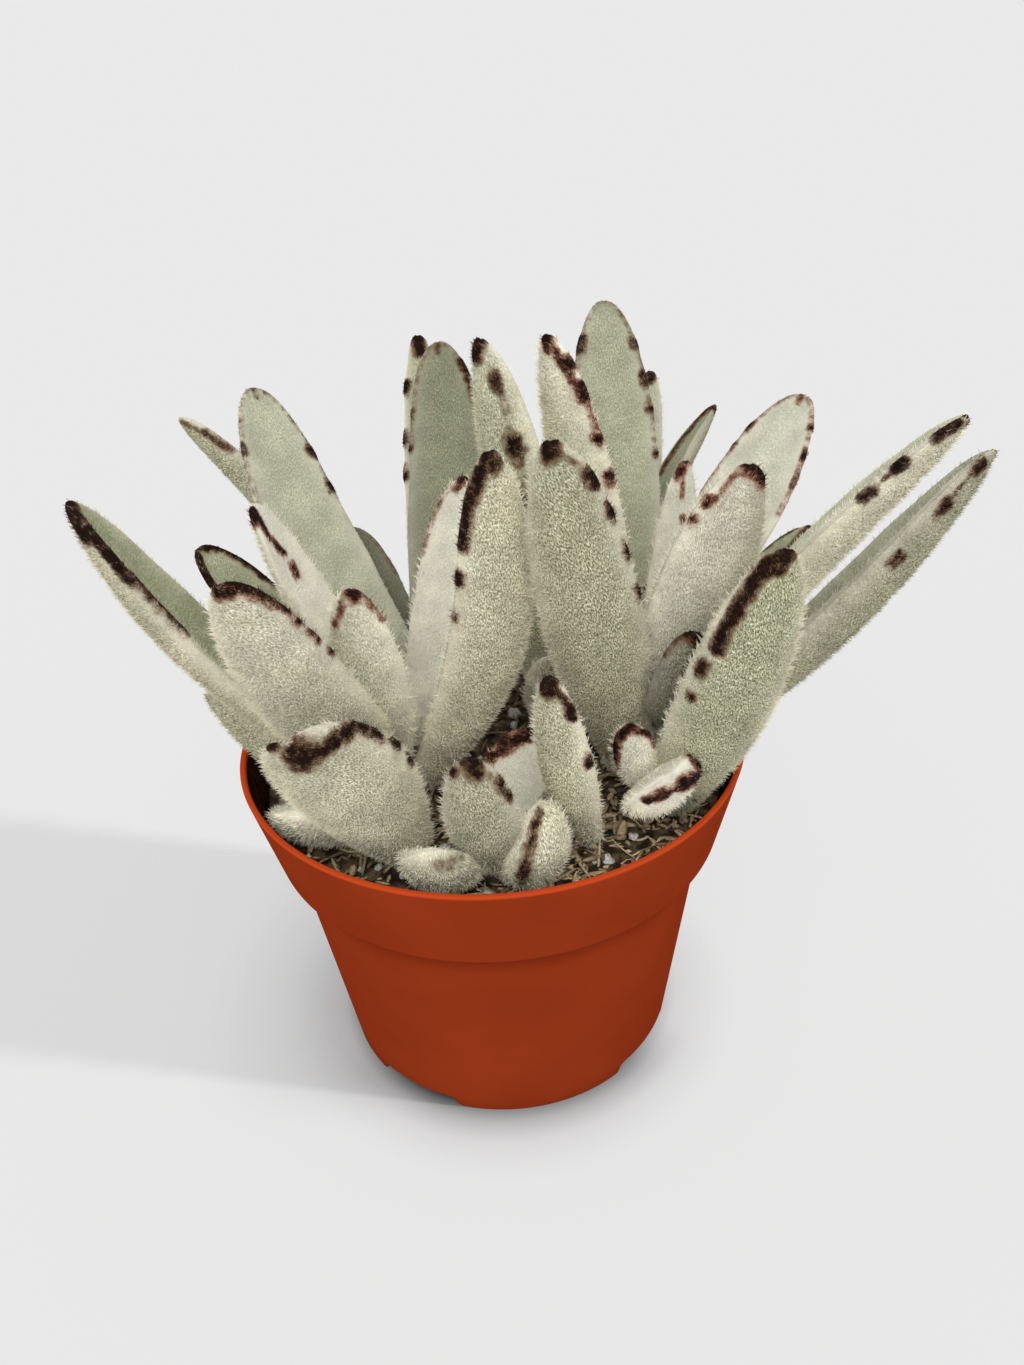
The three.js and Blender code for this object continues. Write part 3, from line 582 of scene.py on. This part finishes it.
def pot_piece(material):
    floor_top = FLOOR_Z + FLOOR_THICKNESS
    slope = (BODY_RADIUS - FOOT_RADIUS) / COLLAR_Z
    inner_foot = FOOT_RADIUS + slope * floor_top - WALL
    over_notch, plain_wall = 3.4 * MM, 5 * MM
    profile = [
        (0, 0), (PAD_RADIUS, 0), (PAD_RADIUS, FLOOR_Z), (FOOT_RADIUS - FOOT_RING, FLOOR_Z),
        (FOOT_RADIUS - FOOT_RING, 0), (FOOT_RADIUS, 0), (FOOT_RADIUS + slope * over_notch, over_notch),
        (FOOT_RADIUS + slope * plain_wall, plain_wall), (BODY_RADIUS, COLLAR_Z),
        (COLLAR_RADIUS, COLLAR_Z + 0.5 * MM), (RIM_RADIUS, POT_HEIGHT), (RIM_RADIUS - WALL, POT_HEIGHT),
        (COLLAR_RADIUS - WALL, COLLAR_Z + WALL), (BODY_RADIUS - WALL, COLLAR_Z + WALL),
        (inner_foot, floor_top), (PAD_RADIUS - WALL, floor_top), (PAD_RADIUS - WALL, FLOOR_THICKNESS),
        (0, FLOOR_THICKNESS),
    ]
    fine, soft = 0.35 * MM, 1.1 * MM
    radii = [fine, fine, 0.3 * MM, 0.3 * MM, 0.35 * MM, 0.6 * MM, 0.6 * MM, soft, soft, 0.45 * MM,
             0.45 * MM, soft, soft, soft, fine, fine]
    bm = spun(rounded(profile, radii), POT_SEGMENTS)
    inside = bm.verts.layers.float.new("inside")
    flare = (RIM_RADIUS - COLLAR_RADIUS) / (POT_HEIGHT - COLLAR_Z)
    for vert in bm.verts:
        radius = math.hypot(vert.co.x, vert.co.y)
        outer = COLLAR_RADIUS + flare * (vert.co.z - COLLAR_Z)
        vert[inside] = vert.co.z > COLLAR_Z + WALL / 2 and outer - radius > 0.8 * WALL
    lift_notches(bm)
    pot = new_piece("nursery_pot", mesh_of(bm, "pot"), material, ["pot"])
    drill_drains(pot)
    return pot


def drill_drains(pot):
    """Cuts the ring of round drain holes through the bottom plate.

    Each drill is turned by half a facet, so that none of its corners meets an edge of the pot's mesh.
    """
    bm = bmesh.new()
    for number in range(DRAIN_COUNT):
        turn = 2 * math.pi * number / DRAIN_COUNT
        place = Matrix.Translation((DRAIN_CIRCLE * math.cos(turn), DRAIN_CIRCLE * math.sin(turn), FLOOR_Z))
        place @= Matrix.Rotation(turn + math.pi / DRAIN_SEGMENTS, 4, "Z")
        bmesh.ops.create_cone(bm, segments=DRAIN_SEGMENTS, radius1=DRAIN_RADIUS, radius2=DRAIN_RADIUS,
                              depth=4 * FLOOR_THICKNESS, cap_ends=True, matrix=place)
    drill = bpy.data.objects.new("drill", mesh_of(bm, "drill"))
    bpy.context.scene.collection.objects.link(drill)
    cut = pot.modifiers.new("drains", "BOOLEAN")
    cut.operation = "DIFFERENCE"
    cut.object = drill
    depsgraph = bpy.context.evaluated_depsgraph_get()
    drilled = bpy.data.meshes.new_from_object(pot.evaluated_get(depsgraph))
    pot.modifiers.clear()
    pot.data = drilled
    pot.data.set_sharp_from_angle(angle=math.radians(50))
    bpy.data.objects.remove(drill)


def lift_notches(bm):
    """Raises the foot ring's lower edge over each notch, with soft shoulders."""
    for vert in bm.verts:
        radius = math.hypot(vert.co.x, vert.co.y)
        if radius < PAD_RADIUS * 1.5 or vert.co.z > NOTCH_HEIGHT:
            continue
        angle = math.degrees(math.atan2(vert.co.y, vert.co.x)) - FIRST_NOTCH
        half_pitch = 180 / NOTCH_COUNT
        off = abs((angle + half_pitch) % (2 * half_pitch) - half_pitch)
        rise = min(max((NOTCH_ANGLE / 2 + 0.4 - off) / NOTCH_SHOULDER, 0), 1)
        rise = rise * rise * (3 - 2 * rise)
        vert.co.z += (NOTCH_HEIGHT - vert.co.z) * 0.9 * rise


def soil_height(x, y):
    """How far the soil's surface stands above its mean level."""
    spot = Vector((x, y, 0.4))
    return 1.1 * MM * noise.noise(spot * 70) + 0.9 * MM * noise.noise(spot * 260) + 0.015 * x


def soil_piece(material):
    bottom = FLOOR_Z + FLOOR_THICKNESS + 0.3 * MM
    gap = WALL + 0.3 * MM
    slope = (BODY_RADIUS - FOOT_RADIUS) / COLLAR_Z
    profile = [(0, bottom), (FOOT_RADIUS + slope * bottom - gap, bottom),
               (BODY_RADIUS - gap, COLLAR_Z + gap), (COLLAR_RADIUS - gap, COLLAR_Z + gap)]
    rings = [(SOIL_RADIUS * (1 - i / SOIL_RINGS), SOIL_Z) for i in range(SOIL_RINGS + 1)]
    bm = spun(profile + rings, SOIL_SEGMENTS)
    for vert in bm.verts:
        if vert.co.z > SOIL_Z - 0.1 * MM:
            radius = math.hypot(vert.co.x, vert.co.y)
            bank = 0.8 * MM * (radius / SOIL_RADIUS) ** 4
            vert.co.z += bank + soil_height(vert.co.x, vert.co.y)
    return new_piece("potting_soil", mesh_of(bm, "soil"), material, ["soil"])


def scattered(count, seed, radius):
    """Points spread evenly over the soil's disc."""
    draw = np.random.default_rng(seed)
    reach = radius * np.sqrt(draw.random(count))
    angle = 2 * math.pi * draw.random(count)
    return np.c_[reach * np.cos(angle), reach * np.sin(angle)], draw


def shreds_piece(material):
    """Loose shreds of bark and coir that lie on the soil, heaped and driest at the front right, with painted
    shade on those at the left and towards the middle.
    """
    places, draw = scattered(SHRED_COUNT, SHRED_SEED, SOIL_RADIUS - 2.5 * MM)
    heap, _ = scattered(SHRED_COUNT, HEAP_SEED, SOIL_RADIUS - 1.5 * MM)
    heap = heap[(heap[:, 0] > 6 * MM) & (heap[:, 1] < -8 * MM)]
    places = np.concatenate([places, heap])
    bm = bmesh.new()
    luck = bm.verts.layers.float.new("luck")
    for x, y in places:
        length = (0.8 + 2.2 * draw.random() + 7.5 * draw.random() ** 5) * MM
        width = (0.35 + 0.65 * draw.random() + 1.6 * draw.random() ** 5) * MM
        bend = draw.uniform(-0.8, 0.8)
        # Painted shade as well as dryness: shreds are lighter towards the front right and darker at the left
        # and in the middle, under the leaves.
        dry_and_lit = 0.5 + 0.5 * math.cos(math.atan2(y, x) + 0.9)
        dry_and_lit *= min(1, math.hypot(x, y) / (0.8 * SOIL_RADIUS))
        tone = draw.random() ** 0.8 * (0.18 + dry_and_lit)
        lie = Matrix.Translation((x, y, SOIL_Z + soil_height(x, y) + draw.uniform(0.2, 1.6) * MM))
        lie @= Matrix.Rotation(draw.uniform(0, 2 * math.pi), 4, "Z")
        lie @= Matrix.Rotation(draw.normal(0, 0.4), 4, "Y")
        lie @= Matrix.Rotation(draw.uniform(-0.6, 0.6), 4, "X")
        made = bmesh.ops.create_uvsphere(bm, u_segments=4, v_segments=6, radius=0.5)
        for vert in made["verts"]:
            along, wide, thick = vert.co.z, vert.co.x, vert.co.y
            arch = bend * (0.25 - along * along) * length * 0.5
            vert.co = lie @ Vector((along * length, wide * width, thick * width * 0.45 + arch))
            vert[luck] = tone
    return new_piece("bark_shreds", mesh_of(bm, "shreds"), material)


def perlite_piece(material):
    """White crumbs of perlite, half sunk in the soil."""
    places, draw = scattered(PERLITE_COUNT, PERLITE_SEED, SOIL_RADIUS - 2.5 * MM)
    bm = bmesh.new()
    for x, y in places:
        size = (0.45 + 0.9 * draw.random() + 0.7 * draw.random() ** 4) * MM
        lie = Matrix.Translation((x, y, SOIL_Z + soil_height(x, y) + 0.35 * size))
        made = bmesh.ops.create_icosphere(bm, subdivisions=2, radius=1)
        phase = Vector(draw.uniform(-9, 9, 3))
        squash = Vector(draw.uniform(0.7, 1.2, 3))
        for vert in made["verts"]:
            lump = 1 + 0.7 * noise.noise(vert.co * 1.9 + phase)
            vert.co = lie @ (vert.co * squash * lump * size)
    return new_piece("perlite", mesh_of(bm, "perlite"), material)


# Stems and leaves -------------------------------------------------------------------------------------

def stem_centre(stem, z):
    part = max(0, (z - SOIL_LEVEL) / (stem.top - SOIL_LEVEL))
    return np.array([stem.x + stem.drift_x * part, stem.y + stem.drift_y * part, z])


def stem_radius(stem, z):
    part = min(max((z - SOIL_LEVEL) / (stem.top - SOIL_LEVEL), 0), 1)
    return stem.radius * (1 - (1 - STEM_TAPER) * part)


def stem_piece(name, stem, material):
    """A short knobbly stem with rings at even steps up its length."""
    low = SOIL_LEVEL - STEM_SUNK
    bm = bmesh.new()
    bmesh.ops.create_cone(bm, segments=STEM_SEGMENTS, radius1=1, radius2=1, depth=1, cap_ends=True)
    sides = [e for e in bm.edges if abs(e.verts[0].co.z - e.verts[1].co.z) > 0.5]
    bmesh.ops.subdivide_edges(bm, edges=sides, cuts=STEM_STEPS)
    for vert in bm.verts:
        part = vert.co.z + 0.5
        z = low + (stem.top - 0.4 - low) * part
        ring = 1 + 0.08 * math.cos(z * 1.9) + 0.08 * noise.noise(vert.co * 3 + Vector((z, stem.x, 0)))
        over = max(0, (part - STEM_DOME) / (1 - STEM_DOME))
        radius = stem_radius(stem, z) * ring * math.sqrt(max(0.05, 1 - over ** 2)) * 0.94
        centre = stem_centre(stem, z)
        vert.co = Vector((centre[0] + vert.co.x * radius, centre[1] + vert.co.y * radius, z)) * MM
    mesh = mesh_of(bm, f"stem_{name}")
    return new_piece(f"bark_stem_{name}", mesh, material, [f"stem_{name}"])


def outline(along, foot, widest, power):
    """Rises from foot at 0 to 1 at widest, then closes to nought at the tip."""
    rise = foot + (1 - foot) * np.sin(np.pi / 2 * np.clip(along / widest, 0, 1)) ** LEAF_SHOULDER
    close = np.sqrt(np.maximum(0, 1 - np.clip((along - widest) / (1 - widest), 0, 1) ** power))
    return np.where(along < widest, rise, close)


def unit(vectors):
    return vectors / np.maximum(np.linalg.norm(vectors, axis=-1, keepdims=True), 1e-12)


def leaf_surface(stem, shape, along, angle, sunk):
    """Points on the leaf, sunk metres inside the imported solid, at these parts of its length and angles."""
    turn, lean, roll = np.radians([shape.turn, shape.lean, shape.roll])
    out = np.array([np.cos(turn), np.sin(turn), 0])
    up = np.array([0, 0, 1.0])
    chord = out * np.sin(lean) + up * np.cos(lean)
    flat = np.cross(up, out)
    side = flat * np.cos(roll) + np.cross(chord, flat) * np.sin(roll)
    face = np.cross(chord, side)
    foot = stem_centre(stem, shape.height) + out * (stem_radius(stem, shape.height) + 0.3)
    closing = np.sqrt(np.clip(1 - (1 - np.minimum(along / FOOT_ROUNDING, 1)) ** 2, 0, 1))
    inset = 2 * sunk / MM
    half = (shape.width - inset) / 2 * closing
    half = half * outline(along, LEAF_FOOT, LEAF_WIDEST, LEAF_TIP_POWER)
    thick = (shape.thickness - inset) * closing
    thick = thick * outline(along, LEAF_FOOT_THICKNESS, LEAF_THICKEST, 2)
    arch = np.sin(np.pi * along)
    slope = np.pi * np.cos(np.pi * along) / shape.length
    across, through = np.cos(angle), np.sin(angle)
    section = np.where(through > 0, LEAF_UPPER, 1 - LEAF_UPPER)
    x = half * across
    y = thick * section * through + shape.cup * half * across ** 2
    normal = unit(face + chord * (shape.bow * slope)[..., None])
    cross = unit(side - chord * (shape.sweep * slope)[..., None])
    reach = sunk / MM + (shape.length - inset) * along
    return MM * (foot + chord * reach[..., None] - face * (shape.bow * arch)[..., None]
                 + side * (shape.sweep * arch)[..., None] + cross * x[..., None] + normal * y[..., None])


def leaf_normals(stem, shape, along, angle, sunk):
    """Outward normals, with their length the area of a unit step each way."""
    small = 1e-3
    far = leaf_surface(stem, shape, np.minimum(along + small, 1), angle, sunk)
    near = leaf_surface(stem, shape, np.maximum(along - small, 0), angle, sunk)
    left = leaf_surface(stem, shape, along, angle + small, sunk)
    right = leaf_surface(stem, shape, along, angle - small, sunk)
    return np.cross(left - right, far - near) / (4 * small * small), unit(far - near)


def brown_at(stem, shape, marks, points):
    """How strongly the brown marks show at these points, from 0 to 1."""
    brown = np.zeros(len(points))
    for start, end, angle, radius, dark in marks:
        first, last = angle if isinstance(angle, tuple) else (angle, angle)
        steps = 2 + int(abs(end - start) * shape.length / (0.5 * radius)) + int(abs(last - first) / 6)
        along = np.linspace(start, end, steps)
        round_at = np.radians(np.linspace(first, last, steps))
        spine = leaf_surface(stem, shape, along, round_at, HAIR_ROOM)
        gaps = np.linalg.norm(points[:, None, :] - spine[None, :, :], axis=2).min(axis=1)
        reach = 0.62 * radius * MM      # the mark is full inside 0.2 of this and gone beyond 2.1
        near = np.clip((2.1 - gaps / reach) / 1.9, 0, 1)
        brown = np.maximum(brown, dark * near * near * (3 - 2 * near))
    return brown


def girth(spec, along):
    """Half the leaf's width at each part of its length, for measuring round the skin."""
    return spec.shape.width / 2 * MM * outline(along, LEAF_FOOT, LEAF_WIDEST, LEAF_TIP_POWER)


# Points and triangles of skin or hairs. Each point has its place along and round the leaf, how brown it
# is, its luck, how much of a hair it is and its place on the bake map.
Felt = namedtuple("Felt", "points faces along angle brown luck hair flat_map")


def leaf_skin(spec, stem):
    """The leaf's smooth closed skin."""
    shape = spec.shape
    rings = int(np.clip(shape.length * 0.8, 22, 60))
    bm = bmesh.new()
    bmesh.ops.create_uvsphere(bm, u_segments=SKIN_SEGMENTS, v_segments=rings, radius=1)
    bmesh.ops.triangulate(bm, faces=bm.faces)
    ball = np.array([v.co for v in bm.verts])
    faces = np.array([[v.index for v in f.verts] for f in bm.faces])
    bm.free()
    along = np.clip((1 + ball[:, 2]) / 2, 0, 1)
    angle = np.arctan2(ball[:, 1], ball[:, 0])
    points = leaf_surface(stem, shape, along, angle, HAIR_ROOM)
    normals, _ = leaf_normals(stem, shape, np.clip(along, 0.004, 0.996), angle, HAIR_ROOM)
    normals = unit(normals)
    normals[(along < 1e-6) | (along > 1 - 1e-6)] = 0
    brown = brown_at(stem, shape, spec.marks, points)
    ripple = np.sin(along * 23 + shape.turn) * np.sin(angle * 3 + along * 9 + shape.length)
    points = points + normals * (TOOTH * brown + RIPPLE * ripple)[:, None]
    turns = (angle % (2 * np.pi)) / (2 * np.pi)
    flat_map = np.c_[MAP_MARGIN + MAP_WIDTH * turns, MAP_MARGIN + 0.98 * along]
    luck = np.full(len(points), 0.5)
    hair = np.zeros(len(points))
    return Felt(points, faces, along, angle, brown, luck, hair, flat_map)


def hair_roots(spec, stem, draw):
    """Where the hairs stand, evenly over the skin but half as many on the upper face."""
    shape = spec.shape
    area = 1.6 * shape.length * shape.width
    tries = 4 * int(area * HAIRS_PER_SQUARE_MM)
    along, angle = draw.random(tries), 2 * np.pi * draw.random(tries)
    along = np.clip(along, 0.01, 0.997)
    normals, forward = leaf_normals(stem, shape, along, angle, HAIR_ROOM)
    size = np.linalg.norm(normals, axis=1) * np.where(np.sin(angle) > 0.15, 0.5, 1)
    count = int(size.mean() * 2 * np.pi / MM ** 2 * HAIRS_PER_SQUARE_MM * spec.cover)
    chosen = draw.choice(tries, size=min(count, tries), replace=False, p=size / size.sum())
    return along[chosen], angle[chosen], unit(normals[chosen]), forward[chosen]


def leaf_hairs(spec, stem, seed):
    """Short tapering hairs rooted in the skin, each a closed spike, worked out together for the leaf."""
    draw = np.random.default_rng(seed)
    along, angle, normals, forward = hair_roots(spec, stem, draw)
    roots = leaf_surface(stem, spec.shape, along, angle, HAIR_ROOM)
    brown = brown_at(stem, spec.shape, spec.marks, roots)
    upper = np.clip(np.sin(angle) * 1.5, 0, 1)
    fringe = np.abs(np.cos(angle)) ** 6
    length = HAIR_LENGTH * (1 - 0.45 * upper + 0.25 * fringe) * draw.uniform(0.65, 1.15, len(roots))
    length *= (1 + 0.25 * spec.white) * (1 - 0.3 * brown) * spec.nap
    stray = draw.normal(0, HAIR_SCATTER, (len(roots), 3))
    heading = unit(normals + forward * HAIR_LEAN + stray)
    heading = unit(heading + normals * np.clip(HAIR_STAND - (heading * normals).sum(1), 0, 1)[:, None])
    base = roots + normals * (TOOTH * brown)[:, None] - heading * 0.1 * MM
    first = unit(np.cross(heading, draw.normal(0, 1, (len(roots), 3))))
    second = np.cross(heading, first)
    corners = [base + HAIR_WIDTH / 2 * (math.cos(a) * first + math.sin(a) * second)
               for a in (0, 2 * math.pi / 3, 4 * math.pi / 3)]
    tips = base + heading * length[:, None]
    points = np.stack(corners + [tips], axis=1).reshape(-1, 3)
    spike = np.array([[0, 1, 3], [1, 2, 3], [2, 0, 3], [0, 2, 1]])
    faces = (4 * np.arange(len(roots))[:, None, None] + spike[None]).reshape(-1, 3)
    luck = draw.random(len(roots))
    hair = np.tile([0.15, 0.15, 0.15, 1.0], len(roots))
    along, angle, brown, luck = (np.repeat(each, 4) for each in (along, angle, brown, luck))
    turns = (angle % (2 * np.pi)) / (2 * np.pi)
    spread = np.tile([[0, 0], [0.004, 0], [0.002, 0.003], [0.002, 0.012]], (len(roots), 1))
    flat_map = np.c_[MAP_HALF + MAP_MARGIN + MAP_WIDTH * turns, MAP_MARGIN + 0.96 * along] + spread
    return Felt(points, faces, along, angle, brown, luck, hair, flat_map)


def joined(skin, hairs):
    """The skin and its hairs as one set of points and triangles."""
    faces = np.concatenate([skin.faces, hairs.faces + len(skin.points)])
    return Felt(*(np.concatenate(pair) for pair in zip(skin, hairs)))._replace(faces=faces)


def felt_mesh(name, felt, carried, skin, flat_faces):
    """A mesh of triangles with a number for each point under each name, and its own bake map."""
    mesh = bpy.data.meshes.new(name)
    mesh.from_pydata(felt.points, [], felt.faces)
    for attribute, numbers in carried.items():
        mesh.attributes.new(attribute, "FLOAT", "POINT").data.foreach_set(
            "value", np.ascontiguousarray(numbers, dtype=np.float32))
    mesh.attributes.new("skin", "FLOAT_VECTOR", "POINT").data.foreach_set(
        "vector", np.ascontiguousarray(skin, dtype=np.float32).ravel())
    mesh.shade_smooth()
    mesh.attributes.new("sharp_face", "BOOLEAN", "FACE").data.foreach_set("value", flat_faces)
    layer = mesh.uv_layers.new(name="OFBake")
    corners = np.empty(len(mesh.loops), dtype=np.int32)
    mesh.loops.foreach_get("vertex_index", corners)
    layer.uv.foreach_set("vector", felt.flat_map[corners].astype(np.float32).ravel())
    return mesh


def leaf_piece(node, spec, stem, material, seed):
    felt = leaf_skin(spec, stem)
    skin_faces = len(felt.faces)
    felt = joined(felt, leaf_hairs(spec, stem, seed))
    flat_faces = np.arange(len(felt.faces)) >= skin_faces
    round_skin = felt.angle * girth(spec, felt.along)
    along_skin = felt.along * spec.shape.length * MM
    skin = np.c_[round_skin, along_skin, np.full(len(felt.points), seed * 0.01)]
    carried = {
        "brown": felt.brown,
        "upper": np.clip(np.sin(felt.angle) * 2.2 + 0.25, 0, 1),
        "hair": felt.hair,
        # how near the margin a point is, for the painted rim light
        "rim_light": np.abs(np.cos(felt.angle)) ** 5,
        "luck": felt.luck,
        "white": np.full(len(felt.points), spec.white),
        "green": np.full(len(felt.points), spec.green),
        "tone": np.full(len(felt.points), spec.tone),
    }
    mesh = felt_mesh(node, felt, carried, skin, flat_faces)
    return new_piece(f"felt_{node}", mesh, material, [node])


# Stage ------------------------------------------------------------------------------------------------

def stage_floor():
    bm = bmesh.new()
    bmesh.ops.create_grid(bm, x_segments=1, y_segments=1, size=FLOOR_REACH)
    floor = bpy.data.objects.new("floor", mesh_of(bm, "floor"))
    floor.data.materials.append(floor_finish())
    bpy.context.scene.collection.objects.link(floor)
    return floor


def sun(name, azimuth, elevation, strength, spread):
    """A lamp far off at this azimuth from +X and elevation, in degrees, as wide as spread."""
    lamp = bpy.data.lights.new(name, "SUN")
    lamp.energy = strength
    lamp.angle = math.radians(spread)
    holder = bpy.data.objects.new(name, lamp)
    bpy.context.scene.collection.objects.link(holder)
    holder.rotation_euler = (0, math.radians(90 - elevation), math.radians(azimuth))
    return holder


def stage_lights(floor):
    world = bpy.data.worlds.new("studio")
    bpy.context.scene.world = world
    world.use_nodes = True
    sky = world.node_tree.nodes["Background"]
    sky.inputs["Color"].default_value = rgb(1, 1, 1)
    sky.inputs["Strength"].default_value = SKY_STRENGTH
    sun("front_softbox", *SOFTBOX)
    shadow_maker = sun("low_sun", *LOW_SUN)
    only_floor = bpy.data.collections.new("only_floor")
    only_floor.objects.link(floor)
    shadow_maker.light_linking.receiver_collection = only_floor


def stage_camera():
    camera = bpy.data.cameras.new("camera")
    camera.sensor_fit = "VERTICAL"
    camera.sensor_height = CAMERA_FRAME
    camera.lens = CAMERA_LENS
    camera.clip_start = 0.01
    holder = bpy.data.objects.new("camera", camera)
    bpy.context.scene.collection.objects.link(holder)
    holder.matrix_world = (Matrix.Translation(CAMERA_PLACE)
                           @ Matrix.Rotation(math.radians(90 - CAMERA_DIP), 4, "X")
                           @ Matrix.Rotation(math.radians(CAMERA_TILT), 4, "Z"))
    bpy.context.scene.camera = holder
    bpy.context.scene.view_settings.view_transform = "Standard"


stage_camera()
stage_lights(stage_floor())
pot_piece(pot_finish())
soil_piece(soil_finish())
shreds_piece(shred_finish())
perlite_piece(perlite_finish())
bark = stem_finish()
for name, stem in STEMS.items():
    stem_piece(name, stem, bark)
felt = felt_finish()
seed = SEED_BEFORE_LEAVES
for name, leaves in LEAVES.items():
    for number, spec in enumerate(leaves, 1):
        seed += 1
        leaf_piece(f"leaf_{name}_{number:02d}", spec, STEMS[name], felt, seed)
